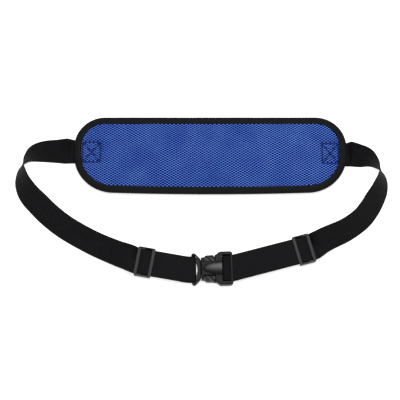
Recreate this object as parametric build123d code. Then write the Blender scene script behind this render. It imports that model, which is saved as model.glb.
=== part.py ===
from build123d import *
from math import sqrt
import os

# Padded gait belt lying flat, wearer's side of the pad up and outer face of the front straps up.
# Millimetres, +Z up, floor at Z = 0, origin at the middle of the belt's outline on the floor.

# Pad
PAD_CENTRE = (13.75, 72.1)
PAD_LENGTH = 430.0
PAD_HEIGHT = 128.0
TOP_CORNER = 48.0
BOTTOM_CORNER = 64.0
BOTTOM_BOW = 5.0
BACKING = 1.3
FOAM = 5.0
MESH = 2.2
MESH_CRUSHED = 0.6

# Binding tape and thread
TAPE = 0.9
TAPE_REACH = 11.0
SEAM_INSET = 8.6
THREAD = 0.6
THREAD_PROUD = 0.15
LEFT_BOX_LENGTH = 29.0
RIGHT_BOX_LENGTH = 26.0
LEFT_BOX_UP = 5.5
RIGHT_BOX_UP = 3.3
BOX_HEIGHT = 33.0
BOX_FROM_END = 12.8
BOX_THREAD = 1.0
BOX_SUNK = 0.1

# Webbing: the height of its middle above the pad's middle, and the length tucked under the pad
WEB_WIDTH = 40.0
WEB = 1.3
LEFT_WEB_UP = 8.3
RIGHT_WEB_UP = 3.3
TUCK = 45.0
BAR_RADIUS = 2.7
SLIP = 0.3

# Buckle: where it lies, how it is turned, and its own sizes along (x) and across (y)
BUCKLE_CENTRE = (15.75, -110.7)
BUCKLE_TURN = 1.7
BUCKLE_HEIGHT = 12.5
PLATE = 2.6
MOUTH_X = -16.0
RING_LENGTH = 3.5
RING_HALF = 15.0
WINDOW_END = 4.5
WINDOW_HALF = 11.2
LIP_LENGTH = 2.0
LIP_HALF = 16.6
POCKET_HALF = 19.6
CAVITY_END = 12.0
END_WALL = 3.0
BAR_GAP = 0.5
SHOULDER_HALF = 20.8
SHOULDER_LENGTH = 9.5
RAIL_GAP = 0.9
BUCKLE_RAIL = 4.7
BAR_TO_END = 11.7
END_ROUND_LENGTH = 11.0
END_ROUND_DROP = 4.2
SILL_REACH = 2.2
SILL_HEIGHT = 1.0
END_BAR = 3.6
END_BAR_HEIGHT = 3.0
DOME_HALF = 11.0
DOME_HEIGHT = 3.2
DOME_SET_BACK = 1.8
TOP_ROUND = 1.5
CORNER_ROUND = 1.2
BAR_ROUND = 0.8

# Plug and its two release arms
MOUTH_GAP = 0.3
PLUG_BASE_FROM = -23.9
PLUG_TIP_HALF = 16.0
PLUG_TIP_BOW = 1.3
PLUG_BOTTOM = 0.6
PLUG_TOP = 10.8
PLUG_TOP_ROUND = 1.8
SLOT_HALF = 10.0
SLOT_BOW = 1.6
LOBE_RADIUS = 3.7
LOBE_SET_BACK = 1.0
TONGUE_HALF = 4.0
TONGUE_END = 8.0
TONGUE_ROOT_HALF = 9.2
TONGUE_ROOT_REACH = 1.4
ARM_SLIP = 0.5
ARM_ROOT = (-18.9, 12.0)
ARM_ROOT_RADIUS = 2.2
ARM_HINGE_SLIP = 0.3
ARM_NECK = 1.6
ARM_SHOULDER_FROM = -16.7
ARM_SHOULDER_HALF = 17.4
GRIP_FROM = -9.5
GRIP_REAR_HALF = 20.0
GRIP_FRONT_HALF = 20.4
GRIP_GAP = 1.35
FLANK_GAP = 2.0
SHOULDER_REAR = 3.0
SHOULDER_RISE = 0.4
GRIP_TALL = 1.8
GRIP_PROUD = 1.6
RIB_PITCH = 2.4
RIB_HEIGHT = 0.5
RIB_WIDTH = 0.8
RIB_TURN = 38.0
BARB_STEP = 2.6
BARB_GAP = 0.3
BARB_LENGTH = 4.6
BARB_TIP = 2.4

# Strap sliders
SLIDER_LENGTH = 27.0
SLIDER_END_BAR = 4.8
SLIDER_BAR_HEIGHT = 2.4
SLIDER_RAIL = 1.9
SLIDER_CORNER = 2.5
SLIDER_ROUND = 0.7
RAIL_INSET = 1.5
RAIL_SLIP = 0.6
CENTRE_BAR = 6.0
TAIL_STUB = 14.0
TACK = 0.5
TACK_LENGTH = 8.4
TACK_WIDTH = 32.0
LEFT_RUN = 65.9
RIGHT_RUN = 113.9
RUN_SPARE = 1.5
LEFT_RUN_TURN = -10.0
RIGHT_RUN_TURN = 14.8
PLUG_STRAIGHT = 9.0
SOCKET_STRAIGHT = 10.2

# Heights and places that follow
PAD_BOTTOM = WEB
FOAM_BOTTOM = PAD_BOTTOM + BACKING
FOAM_TOP = FOAM_BOTTOM + FOAM
MESH_TOP = FOAM_TOP + MESH
TAPE_TOP = FOAM_TOP + MESH_CRUSHED + TAPE
LOOP_RADIUS = BAR_RADIUS + SLIP
BAR_Z = WEB + LOOP_RADIUS
RUN_Z = WEB + 2 * LOOP_RADIUS
RUN_TOP = RUN_Z + WEB
OVER_WEB = RUN_TOP + SLIP
LOOP_OUT = LOOP_RADIUS + WEB
RAIL_HALF = WEB_WIDTH / 2 + RAIL_GAP
BUCKLE_HALF = RAIL_HALF + BUCKLE_RAIL
WALL_TO = CAVITY_END + END_WALL
SOCKET_BAR_X = WALL_TO + LOOP_OUT + BAR_GAP
SOCKET_END = SOCKET_BAR_X + BAR_TO_END
PLUG_BAR_X = PLUG_BASE_FROM - LOOP_OUT - SLIP
PLUG_TIP = MOUTH_X - MOUTH_GAP
LIP_TO = WINDOW_END + LIP_LENGTH
ARM_BOTTOM = PLATE + ARM_SLIP
ARM_TOP = BUCKLE_HEIGHT - PLATE - ARM_SLIP

# How each strap runs from the end of its straight front run (0) out to the pad's end (1) in
# length and up to the pad's strap line (1) in height, given for its lower edge, and which way
# its upper edge lies from there in plan, in strap widths: (0, 1) is flat and (0, 0) upright.
LEFT_BEND = [
    (1.02, 1.0, 0.0, 1.0),
    (1.13, 0.998, 0.02, 0.91),
    (1.25, 1.003, 0.06, 0.76),
    (1.46, 1.011, 0.09, 0.62),
    (1.62, 1.011, 0.13, 0.47),
    (1.73, 1.003, 0.18, 0.31),
    (1.80, 0.987, 0.23, 0.17),
    (1.86, 0.957, 0.31, 0.09),
    (1.915, 0.90, 0.45, 0.10),
    (1.935, 0.81, 0.61, 0.20),
    (1.91, 0.73, 0.71, 0.29),
    (1.84, 0.65, 0.77, 0.37),
    (1.70, 0.563, 0.77, 0.44),
    (1.48, 0.446, 0.72, 0.51),
    (1.18, 0.32, 0.62, 0.60),
    (0.75, 0.185, 0.47, 0.71),
    (0.36, 0.085, 0.33, 0.82),
    (0.12, 0.03, 0.24, 0.93),
]
RIGHT_BEND = [
    (1.04, 1.0, 0.0, 1.0),
    (1.18, 0.995, -0.04, 0.89),
    (1.36, 0.99, -0.08, 0.75),
    (1.60, 0.99, -0.14, 0.57),
    (1.78, 0.977, -0.18, 0.41),
    (1.91, 0.957, -0.21, 0.23),
    (2.01, 0.93, -0.28, 0.10),
    (2.12, 0.873, -0.43, 0.05),
    (2.175, 0.79, -0.61, 0.07),
    (2.14, 0.69, -0.73, 0.13),
    (2.02, 0.59, -0.79, 0.19),
    (1.83, 0.474, -0.78, 0.27),
    (1.54, 0.349, -0.71, 0.41),
    (1.06, 0.22, -0.58, 0.58),
    (0.46, 0.108, -0.42, 0.76),
    (0.16, 0.04, -0.33, 0.88),
]
LIFT_FROM = 0.8


def box_between(low, high):
    """Block from its lowest corner to its highest."""
    size = [b - a for a, b in zip(low, high)]
    return Pos(*low) * Box(*size, align=(Align.MIN, Align.MIN, Align.MIN))


def prism(points, bottom, top):
    """Upright block whose plan is the closed outline through the points."""
    outline = make_face(Polyline(*points, close=True))
    return Pos(0, 0, bottom) * extrude(outline, top - bottom)


# ---- pad ----

def pad_outline():
    """Pad's plan: straight top and ends, bowed lower edge, large round corners."""
    x, y = PAD_LENGTH / 2, PAD_HEIGHT / 2
    corner = BOTTOM_BOW - y
    edges = Line((-x, corner), (-x, y)) + Line((-x, y), (x, y)) + Line((x, y), (x, corner))
    edges += ThreePointArc((x, corner), (0, -y), (-x, corner))
    face = make_face(edges)
    top = face.vertices().filter_by(lambda v: v.Y > 0)
    face = fillet(top, TOP_CORNER)
    low = [v for v in face.vertices() if v.Y < corner + 1]
    return fillet(low, BOTTOM_CORNER)


PAD_PLAN = pad_outline()


def slab(inset, bottom, top):
    """Layer of the pad, cut smaller all round by inset."""
    plan = offset(PAD_PLAN, -inset) if inset else PAD_PLAN
    return Pos(*PAD_CENTRE, bottom) * extrude(plan, top - bottom)


def box_stitch(side, bottom, top):
    """Square of stitching with a cross in it, where a strap is sewn to the pad."""
    length = LEFT_BOX_LENGTH if side < 0 else RIGHT_BOX_LENGTH
    up = LEFT_BOX_UP if side < 0 else RIGHT_BOX_UP
    middle = side * (PAD_LENGTH / 2 - BOX_FROM_END - length / 2)
    square = Rectangle(length, BOX_HEIGHT)
    plan = square - Rectangle(length - 2 * BOX_THREAD, BOX_HEIGHT - 2 * BOX_THREAD)
    diagonal = sqrt(length**2 + BOX_HEIGHT**2)
    turn = Vector(1, 0).get_signed_angle(Vector(length, BOX_HEIGHT))
    for way in (turn, -turn):
        plan += Rot(0, 0, way) * Rectangle(diagonal, BOX_THREAD)
    plan = plan & square
    x, y = PAD_CENTRE
    return Pos(x + middle, y + up, bottom) * extrude(plan, top - bottom)


def pad_nodes():
    """Backing, foam, mesh, binding tape round them all, and the stitching."""
    thread_bottom = MESH_TOP - THREAD
    boxes = {
        "left_box_stitching": box_stitch(-1, thread_bottom, MESH_TOP - BOX_SUNK),
        "right_box_stitching": box_stitch(1, thread_bottom, MESH_TOP - BOX_SUNK),
    }
    backing = slab(TAPE_REACH, PAD_BOTTOM, FOAM_BOTTOM) + slab(TAPE, PAD_BOTTOM + TAPE, FOAM_BOTTOM)
    mesh = slab(TAPE, FOAM_TOP, FOAM_TOP + MESH_CRUSHED) + slab(TAPE_REACH, FOAM_TOP, MESH_TOP)
    for side in (-1, 1):
        mesh -= box_stitch(side, thread_bottom, MESH_TOP)
    binding = slab(0, PAD_BOTTOM, TAPE_TOP)
    binding -= slab(TAPE, PAD_BOTTOM + TAPE, TAPE_TOP - TAPE)
    binding -= slab(TAPE_REACH, PAD_BOTTOM, TAPE_TOP)
    seam_low, seam_high = TAPE_TOP - THREAD_PROUD, TAPE_TOP + THREAD_PROUD
    seam = slab(SEAM_INSET, seam_low, seam_high) - slab(SEAM_INSET + THREAD, seam_low, seam_high)
    binding -= seam
    return {
        "backing_panel": backing,
        "foam_core": slab(TAPE, FOAM_BOTTOM, FOAM_TOP),
        "mesh_panel": mesh,
        "edge_binding": binding,
        "binding_stitching": seam,
        **boxes,
    }


# ---- webbing ----

BUCKLE = Location((*BUCKLE_CENTRE, 0), (0, 0, BUCKLE_TURN))


def at_buckle(x, y=0.0):
    """Point on the floor given along and across the buckle."""
    return Vector((BUCKLE * Pos(x, y, 0)).position)


def heading(degrees):
    """Unit direction on the floor."""
    return Vector(1, 0, 0).rotate(Axis.Z, degrees)


PLUG_BEND = at_buckle(PLUG_BAR_X - PLUG_STRAIGHT)
SOCKET_BEND = at_buckle(SOCKET_BAR_X + SOCKET_STRAIGHT)
LEFT_WAY = heading(180 + LEFT_RUN_TURN)
RIGHT_WAY = heading(RIGHT_RUN_TURN)
LEFT_SLIDER = PLUG_BEND + LEFT_WAY * LEFT_RUN
RIGHT_SLIDER = SOCKET_BEND + RIGHT_WAY * RIGHT_RUN
RUN_PAST = SLIDER_LENGTH / 2 + RUN_SPARE


def band(points, bottom):
    """Flat webbing along a bent centre line, mitred at its turns."""
    sides = ([], [])
    for i, point in enumerate(points):
        before = (point - points[i - 1] if i else points[1] - point).normalized()
        after = (points[i + 1] - point if i + 1 < len(points) else before).normalized()
        along = (before + after).normalized()
        reach = WEB_WIDTH / 2 / along.dot(after)
        across = along.rotate(Axis.Z, 90) * reach
        sides[0].append(point + across)
        sides[1].insert(0, point - across)
    corners = [(p.X, p.Y) for p in sides[0] + sides[1]]
    return prism(corners, bottom, bottom + WEB)


def loop(bar_x, way):
    """Half turn of webbing round a buckle bar, on the side that way points to."""
    ring = Circle(LOOP_RADIUS + WEB) - Circle(LOOP_RADIUS)
    ring &= Pos(way * 50, 0) * Rectangle(100, 100)
    turned = Pos(bar_x, WEB_WIDTH / 2, BAR_Z) * Rot(90, 0, 0) * extrude(ring, WEB_WIDTH)
    return BUCKLE * turned


def section(edge, along, across):
    """Webbing's cut end: its lower edge point, the way it runs and the way to its other edge."""
    middle = edge + across * (WEB_WIDTH / 2)
    along = along - across * along.dot(across)
    return Plane(origin=middle, x_dir=across, z_dir=along) * Rectangle(WEB_WIDTH, WEB)


def bend(side, run_end, run_way, up, shares):
    """Webbing from under the pad, over on its edge, to the end of the front run."""
    x0, y0 = PAD_CENTRE
    pad_x = x0 + side * PAD_LENGTH / 2
    line_y = y0 + up - WEB_WIDTH / 2
    inward = run_way.rotate(Axis.Z, side * 90)
    last = run_end - inward * (WEB_WIDTH / 2)
    edges = [Vector(pad_x - side * TUCK, line_y, 0)]
    lean = [Vector(0, 1, 0)]
    lifts = [0.0]
    for out, high, over_x, over_y in shares:
        edges.append(
            Vector(last.X + out * (pad_x - last.X), last.Y + high * (line_y - last.Y), 0)
        )
        lean.append(Vector(over_x, over_y, sqrt(max(0.0, 1 - over_x**2 - over_y**2))))
        near = max(0.0, 1 - out / LIFT_FROM) if high < 0.5 else 0.0
        lifts.append(RUN_Z * near**2)
    edges.append(last)
    lean.append(inward)
    lifts.append(RUN_Z)
    sections = []
    for i, edge in enumerate(edges):
        before, after = edges[max(i - 1, 0)], edges[min(i + 1, len(edges) - 1)]
        along = (after - before).normalized()
        if lean[i].Z < 1e-6:
            along = Vector(side, 0, 0) if i < 2 else run_way * -1
        flatness = sqrt(lean[i].X ** 2 + lean[i].Y ** 2)
        lifted = edge + Vector(0, 0, lifts[i] + WEB / 2 * flatness)
        sections.append(section(lifted, along, lean[i]))
    return loft(sections, ruled=True)


def strap(side):
    """One strap: bend, front run, loop round the buckle bar and the layer back underneath."""
    if side < 0:
        bar_x, turn_point, way, slider = PLUG_BAR_X, PLUG_BEND, LEFT_WAY, LEFT_SLIDER
        up, shares, curl = LEFT_WEB_UP, LEFT_BEND, 1
    else:
        bar_x, turn_point, way, slider = SOCKET_BAR_X, SOCKET_BEND, RIGHT_WAY, RIGHT_SLIDER
        up, shares, curl = RIGHT_WEB_UP, RIGHT_BEND, -1
    bar = at_buckle(bar_x)
    run_end = slider + way * RUN_PAST
    under_end = slider + way * (CENTRE_BAR / 2)
    upper = band([run_end, turn_point, bar], RUN_Z)
    lower = band([under_end, turn_point, bar], 0.0)
    return bend(side, run_end, way, up, shares) + upper + loop(bar_x, curl) + lower


# ---- sliders ----

def stadium(length, height, width):
    """Bar across the strap with half-round front and back edges."""
    plan = SlotOverall(length, height)
    return Pos(0, width / 2, 0) * Rot(90, 0, 0) * extrude(plan, width)


def slider_nodes(name, middle, turn):
    """Slider frame, the strap's tail sewn round its centre bar, and that seam."""
    half = WEB_WIDTH / 2 + RAIL_SLIP
    outer = half + SLIDER_RAIL
    top = OVER_WEB + SLIDER_BAR_HEIGHT
    low = WEB + SLIP
    tail_height = RUN_Z - SLIP - low
    bar_height = tail_height - 2 * WEB
    centre_z = low + tail_height / 2
    x = SLIDER_LENGTH / 2
    frame = box_between((-x, -outer, OVER_WEB), (x, outer, top))
    frame = fillet(frame.edges().filter_by(Axis.Z), SLIDER_CORNER)
    frame -= box_between((SLIDER_END_BAR - x, -half, 0), (x - SLIDER_END_BAR, half, top + 1))
    for way in (-1, 1):
        end = x - RAIL_INSET
        rail = box_between((-end, half, low), (end, outer, OVER_WEB + SLIDER_BAR_HEIGHT / 2))
        frame += rail if way > 0 else mirror(rail, Plane.XZ)
    frame = fillet(frame.edges().group_by(Axis.Z)[-1], SLIDER_ROUND)
    frame += Pos(0, 0, centre_z) * stadium(CENTRE_BAR, bar_height, 2 * half + 1)
    tail = Pos(0, 0, centre_z) * stadium(CENTRE_BAR + 2 * WEB, tail_height, WEB_WIDTH)
    stub_end = CENTRE_BAR / 2 + WEB + TAIL_STUB
    stub = box_between(
        (CENTRE_BAR / 2, -WEB_WIDTH / 2, centre_z - WEB), (stub_end, WEB_WIDTH / 2, centre_z + WEB)
    )
    tail += stub
    tail -= Pos(0, 0, centre_z) * stadium(CENTRE_BAR, bar_height, WEB_WIDTH)
    tack_middle = stub_end - TAIL_STUB / 2
    tack = Rectangle(TACK_LENGTH, TACK_WIDTH) - Rectangle(
        TACK_LENGTH - 2 * BOX_THREAD, TACK_WIDTH - 2 * BOX_THREAD
    )
    tack = Pos(tack_middle, 0, centre_z + WEB) * extrude(tack, TACK)
    spot = Location((middle.X, middle.Y, 0), (0, 0, turn))
    return {
        name + "_slider": spot * frame,
        name + "_strap_tail": spot * tail,
        name + "_tail_stitching": spot * tack,
    }


# ---- buckle ----

def both(half):
    """A shape and its mirror image across the buckle's long axis."""
    return half + mirror(half, Plane.XZ)


def dome():
    """Raised bullet-shaped boss: a quarter of an ellipsoid, widest at the strap end."""
    length = WALL_TO - MOUTH_X - DOME_SET_BACK
    ball = scale(Sphere(DOME_HALF), by=(length / DOME_HALF, 1, DOME_HEIGHT / DOME_HALF))
    quarter = ball & box_between((-length, -DOME_HALF, 0), (0, DOME_HALF, DOME_HEIGHT))
    return Pos(WALL_TO, 0, BUCKLE_HEIGHT) * quarter


def socket():
    """Socket: two plates, side walls with lips for the barbs, end wall, rails and bars."""
    swell_to = WINDOW_END + SHOULDER_LENGTH
    corner_x, corner_y = SOCKET_END - END_ROUND_LENGTH, BUCKLE_HALF - END_ROUND_DROP
    swell = Spline(
        [(WINDOW_END, SHOULDER_HALF), (swell_to, BUCKLE_HALF)], tangents=[(1, 0.1), (1, 0)]
    )
    outline = Line((WINDOW_END, 0), (WINDOW_END, SHOULDER_HALF)) + swell
    outline += Line((swell_to, BUCKLE_HALF), (corner_x, BUCKLE_HALF))
    outline += Spline(
        [(corner_x, BUCKLE_HALF), (SOCKET_END, corner_y)], tangents=[(1, 0), (0, -1)]
    )
    outline += Line((SOCKET_END, corner_y), (SOCKET_END, 0))
    outline += Line((SOCKET_END, 0), (WINDOW_END, 0))
    body = both(extrude(make_face(outline), BUCKLE_HEIGHT))
    plate = box_between((MOUTH_X, -WINDOW_HALF, 0), (WINDOW_END + 1, WINDOW_HALF, BUCKLE_HEIGHT))
    ring = box_between((MOUTH_X, -RING_HALF, 0), (MOUTH_X + RING_LENGTH, RING_HALF, BUCKLE_HEIGHT))
    body += plate + fillet(ring.edges().filter_by(Axis.Z), CORNER_ROUND)
    body = fillet(body.edges().group_by(Axis.Z)[-1], TOP_ROUND)
    inside_low, inside_high = PLATE, BUCKLE_HEIGHT - PLATE
    body -= box_between((MOUTH_X - 1, -LIP_HALF, inside_low), (LIP_TO, LIP_HALF, inside_high))
    body -= box_between((LIP_TO, -POCKET_HALF, inside_low), (CAVITY_END, POCKET_HALF, inside_high))
    body += both(
        box_between(
            (WINDOW_END - SILL_REACH, WINDOW_HALF, 0), (WINDOW_END, SHOULDER_HALF, SILL_HEIGHT)
        )
    )
    body += dome()
    clear_top = BUCKLE_HEIGHT + DOME_HEIGHT + 1
    body -= box_between((WALL_TO, -RAIL_HALF, -1), (SOCKET_END + 1, RAIL_HALF, clear_top))
    bar = Cylinder(BAR_RADIUS, 2 * RAIL_HALF + 1, rotation=(90, 0, 0))
    body += Pos(SOCKET_BAR_X, 0, BAR_Z) * bar
    end_bar = box_between(
        (SOCKET_END - END_BAR, -RAIL_HALF - 0.5, OVER_WEB),
        (SOCKET_END, RAIL_HALF + 0.5, OVER_WEB + END_BAR_HEIGHT),
    )
    body += fillet(end_bar.edges().filter_by(Axis.Y), BAR_ROUND)
    return BUCKLE * body


def plug():
    """Plug base with its webbing bar, lobes, hinge notches and centre tongue."""
    shy = PLUG_TIP - PLUG_TIP_BOW
    tip = ThreePointArc((shy, -PLUG_TIP_HALF), (PLUG_TIP, 0), (shy, PLUG_TIP_HALF))
    lobe_x = PLUG_BAR_X + LOBE_SET_BACK
    rims = [Pos(lobe_x, way * RAIL_HALF) * Circle(LOBE_RADIUS).edge() for way in (-1, 1)]
    body = Pos(0, 0, PLUG_BOTTOM) * extrude(make_hull([tip.edge(), *rims]), PLUG_TOP - PLUG_BOTTOM)
    body = fillet(body.edges().group_by(Axis.Z)[-1], PLUG_TOP_ROUND)
    body = fillet(body.edges().group_by(Axis.Z)[0], CORNER_ROUND)
    far = PLUG_BAR_X - 20
    bowed = ThreePointArc(
        (PLUG_BASE_FROM, SLOT_HALF), (PLUG_BASE_FROM + SLOT_BOW, 0), (PLUG_BASE_FROM, -SLOT_HALF)
    )
    window = bowed + Polyline(
        (PLUG_BASE_FROM, -SLOT_HALF),
        (PLUG_BASE_FROM, -RAIL_HALF),
        (far, -RAIL_HALF),
        (far, RAIL_HALF),
        (PLUG_BASE_FROM, RAIL_HALF),
        (PLUG_BASE_FROM, SLOT_HALF),
    )
    body -= Pos(0, 0, -1) * extrude(make_face(window), PLUG_TOP + 2)
    bar = Cylinder(BAR_RADIUS, 2 * RAIL_HALF + 1, rotation=(90, 0, 0))
    body += Pos(PLUG_BAR_X, 0, BAR_Z) * bar
    tongue_low = PLATE + 2 * ARM_SLIP
    body += box_between(
        (PLUG_TIP - 2, -TONGUE_HALF, tongue_low),
        (TONGUE_END, TONGUE_HALF, BUCKLE_HEIGHT - tongue_low),
    )
    body += box_between(
        (PLUG_TIP - 2, -TONGUE_ROOT_HALF, tongue_low),
        (PLUG_TIP + TONGUE_ROOT_REACH, TONGUE_ROOT_HALF, BUCKLE_HEIGHT - tongue_low),
    )
    x, y = ARM_ROOT
    notch = ARM_ROOT_RADIUS + ARM_HINGE_SLIP
    low, high = ARM_BOTTOM - ARM_HINGE_SLIP, ARM_TOP + ARM_HINGE_SLIP
    round_notch = Pos(x, y, low) * extrude(Circle(notch), high - low)
    way_out = box_between((x, y - notch, low), (MOUTH_X, y + notch, high))
    body -= both(round_notch + way_out)
    return BUCKLE * body


def arm(side):
    """Release arm: root, neck, shoulder, grooved finger grip and barb, as it lies latched."""
    x, y = ARM_ROOT
    barb_x = LIP_TO + BARB_GAP
    neck_half = LIP_HALF - BARB_GAP - ARM_SLIP
    inner, outer = y - ARM_NECK, y + ARM_NECK
    grip_to, flank_to = WINDOW_END - GRIP_GAP, WINDOW_END - FLANK_GAP
    spine = [
        (x, inner),
        (x, outer),
        (ARM_SHOULDER_FROM, outer),
        (ARM_SHOULDER_FROM, ARM_SHOULDER_HALF),
        (GRIP_FROM - SHOULDER_REAR, ARM_SHOULDER_HALF + SHOULDER_RISE),
        (GRIP_FROM, GRIP_REAR_HALF),
        (grip_to, GRIP_FRONT_HALF),
        (grip_to, neck_half),
        (barb_x, neck_half),
        (barb_x, neck_half + BARB_STEP),
        (barb_x + BARB_LENGTH, inner + BARB_TIP),
        (barb_x + BARB_LENGTH, inner),
    ]
    body = Pos(x, y, ARM_BOTTOM) * extrude(Circle(ARM_ROOT_RADIUS), ARM_TOP - ARM_BOTTOM)
    body += prism(spine, ARM_BOTTOM, ARM_TOP)
    flank = [
        (GRIP_FROM, GRIP_REAR_HALF - GRIP_TALL),
        (GRIP_FROM, GRIP_REAR_HALF),
        (flank_to, GRIP_FRONT_HALF),
        (flank_to, GRIP_FRONT_HALF - GRIP_TALL),
    ]
    low, high = ARM_BOTTOM - GRIP_PROUD, ARM_TOP + GRIP_PROUD
    body += prism(flank, low, high)
    length = flank_to - GRIP_FROM
    slope = (GRIP_FRONT_HALF - GRIP_REAR_HALF) / length
    rib_in, rib_out = WINDOW_HALF + ARM_SLIP, GRIP_REAR_HALF - GRIP_TALL
    field = Pos(GRIP_FROM + length / 2, (rib_in + rib_out) / 2) * Rectangle(length, rib_out - rib_in)
    for i in range(int(length / RIB_PITCH)):
        rib_x = GRIP_FROM + RIB_PITCH * (i + 0.5)
        rib_y = GRIP_REAR_HALF + slope * (rib_x - GRIP_FROM)
        body += Pos(rib_x, rib_y, low) * extrude(Circle(RIB_HEIGHT), high - low)
        groove = Rot(0, 0, RIB_TURN) * Rectangle(RIB_WIDTH, 2 * (rib_out - rib_in))
        groove = field & Pos(rib_x, (rib_in + rib_out) / 2) * groove
        body -= Pos(0, 0, ARM_TOP - RIB_HEIGHT) * extrude(groove, RIB_HEIGHT)
    if side < 0:
        body = mirror(body, Plane.XZ)
    return BUCKLE * body


nodes = pad_nodes()
nodes["left_strap"] = strap(-1)
nodes["right_strap"] = strap(1)
nodes.update(slider_nodes("left", LEFT_SLIDER, LEFT_RUN_TURN))
nodes.update(slider_nodes("right", RIGHT_SLIDER, RIGHT_RUN_TURN + 180))
nodes["buckle_socket"] = socket()
nodes["buckle_plug"] = plug()
nodes["upper_release_arm"] = arm(1)
nodes["lower_release_arm"] = arm(-1)

os.makedirs("parts", exist_ok=True)
whole = None
for name, solid in nodes.items():
    export_step(solid, f"parts/{name}.step")
    size = solid.bounding_box()
    whole = size if whole is None else whole.add(size)
middle = whole.center()
print(f"belt {whole.size.X:.1f} x {whole.size.Y:.1f} x {whole.size.Z:.1f}")
print(f"middle {middle.X:.2f} {middle.Y:.2f}, lowest {whole.min.Z:.3f}")
for label, spot in (("left slider", LEFT_SLIDER), ("right slider", RIGHT_SLIDER)):
    print(label, round(spot.X, 2), round(spot.Y, 2))
for label, side in (("upper arm root", 1), ("lower arm root", -1)):
    spot = at_buckle(ARM_ROOT[0], side * ARM_ROOT[1])
    print(label, round(spot.X, 2), round(spot.Y, 2))
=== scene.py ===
import math

import bmesh
import bpy
import numpy as np
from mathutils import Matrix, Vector


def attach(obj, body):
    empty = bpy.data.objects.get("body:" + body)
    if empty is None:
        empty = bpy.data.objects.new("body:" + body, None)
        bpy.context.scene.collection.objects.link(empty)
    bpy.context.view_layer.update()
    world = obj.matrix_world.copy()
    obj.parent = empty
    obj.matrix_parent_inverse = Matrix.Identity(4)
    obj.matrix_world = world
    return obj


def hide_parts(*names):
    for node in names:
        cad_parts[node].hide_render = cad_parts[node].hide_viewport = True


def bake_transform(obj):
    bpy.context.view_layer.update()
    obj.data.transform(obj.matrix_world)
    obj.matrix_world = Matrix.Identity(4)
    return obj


# Looks of a padded gait belt lying flat: foam pad with a knitted mesh face, bound edge,
# webbing straps, two strap sliders and a side-release buckle. Sizes below are millimetres.

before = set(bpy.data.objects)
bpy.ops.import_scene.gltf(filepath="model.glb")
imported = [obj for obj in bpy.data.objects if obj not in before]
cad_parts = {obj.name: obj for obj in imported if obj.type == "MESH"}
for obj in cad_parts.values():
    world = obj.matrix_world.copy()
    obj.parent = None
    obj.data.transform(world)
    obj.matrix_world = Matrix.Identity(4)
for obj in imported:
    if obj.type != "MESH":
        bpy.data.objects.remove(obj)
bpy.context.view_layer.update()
MM = 0.001

# ---- sizes shared with the solid model ----

PAD_CENTRE = np.array([13.75, 72.1])
PAD_HALF_LENGTH = 215.0
PAD_HALF_HEIGHT = 64.0
TOP_CORNER = 48.0
BOTTOM_CORNER = 64.0
BOTTOM_BOW = 5.0
PAD_BOTTOM = 1.3
MESH_TOP = 9.8
SEAM_INSET = 8.9
BOX_HEIGHT, BOX_FROM_END = 33.0, 12.8
BOX_LENGTH = {"left": 29.0, "right": 26.0}
BOX_UP = {"left": 5.5, "right": 3.3}
WEB_WIDTH, WEB = 40.0, 1.3
WEB_UP = {"left": 8.3, "right": 3.3}
TUCK = 45.0
LOOP_RADIUS = 3.0
RUN_Z = WEB + 2 * LOOP_RADIUS
BAR_Z = WEB + LOOP_RADIUS
BUCKLE_CENTRE = np.array([15.75, -110.7])
BUCKLE_TURN = math.radians(1.7)
PLUG_BAR_X, SOCKET_BAR_X = -28.5, 19.8
PLUG_STRAIGHT, SOCKET_STRAIGHT = 9.0, 10.2
RUN_LENGTH = {"left": 65.9, "right": 113.9}
RUN_TURN = {"left": math.radians(180 - 10.0), "right": math.radians(14.8)}
SLIDER_LENGTH, SLIDER_END_BAR, CENTRE_BAR = 27.0, 4.8, 6.0
TAIL_STUB = 14.0
RUN_PAST = SLIDER_LENGTH / 2 + 1.5
LIFT_FROM = 0.8

# ---- sizes of the looks alone ----

STRAP_STEP = 2.0        # between cross sections along a strap's straight stretches
BEND_STEPS = 9          # cross sections between two points of a bend
TUCK_STRAIGHT = 18.0    # in from the pad's end to where the tucked strap starts to turn
RUN_OVERLAP = 6.0       # how far a bend runs on into the front run
TURN_REACH = 7.0        # from the small turn before the buckle to each end of its curve
UNDER_DRIFT = 0.9       # how far the lower layer comes to lie off the upper one, and over
DRIFT_OVER = 20.0       # what length it gets there
SELVEDGE_RISE, SELVEDGE_AT, SELVEDGE_SHARE = 0.10, 0.93, 0.03
SLIP = 0.3              # between a sewn tail and the webbing above and below it
HUMP_REACH = 1.2        # how far the webbing over a slider's centre bar runs under its end bars
HUMP_RISE, HUMP_SINK = 1.5, 0.25
HUMP_INSET, TAIL_INSET = 0.6, 0.4
TAIL_CLOSES = 5.0       # length in which the two layers of a tail come together
CORE_INSET = 44.0       # inset up to which the pad's rings follow its outline
CORE_HALF_LENGTH, CORE_Y = 150.0, -1.0
RING_POINTS = 240
CLOTH_THICK, CLOTH_UP = 1.0, 0.15
TAPE_HALF = 0.42
STITCH_PITCH = {"binding": 3.2, "box": 2.9, "tail": 2.6}
BOX_LINE_INSET = 0.5

FOAM_LOW, FOAM_HIGH = PAD_BOTTOM + 0.9, 7.8   # the slab of foam before it is blown up
FOAM_MIDDLE = (FOAM_LOW + FOAM_HIGH) / 2
HELD_EDGE = 8.5         # inset of the foam that the binding holds still
FRAMES = 20             # of the cloth simulation
MOST_MOVE = 5.0         # no point of the foam is blown further than this
MOST_HIGH = MESH_TOP + 1.2   # and none is left higher than this
SEAM_SINK, BOX_SINK, MOST_SINK = 2.2, 1.1, 3.0   # at a sewn line, over a square, and at most

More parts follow.
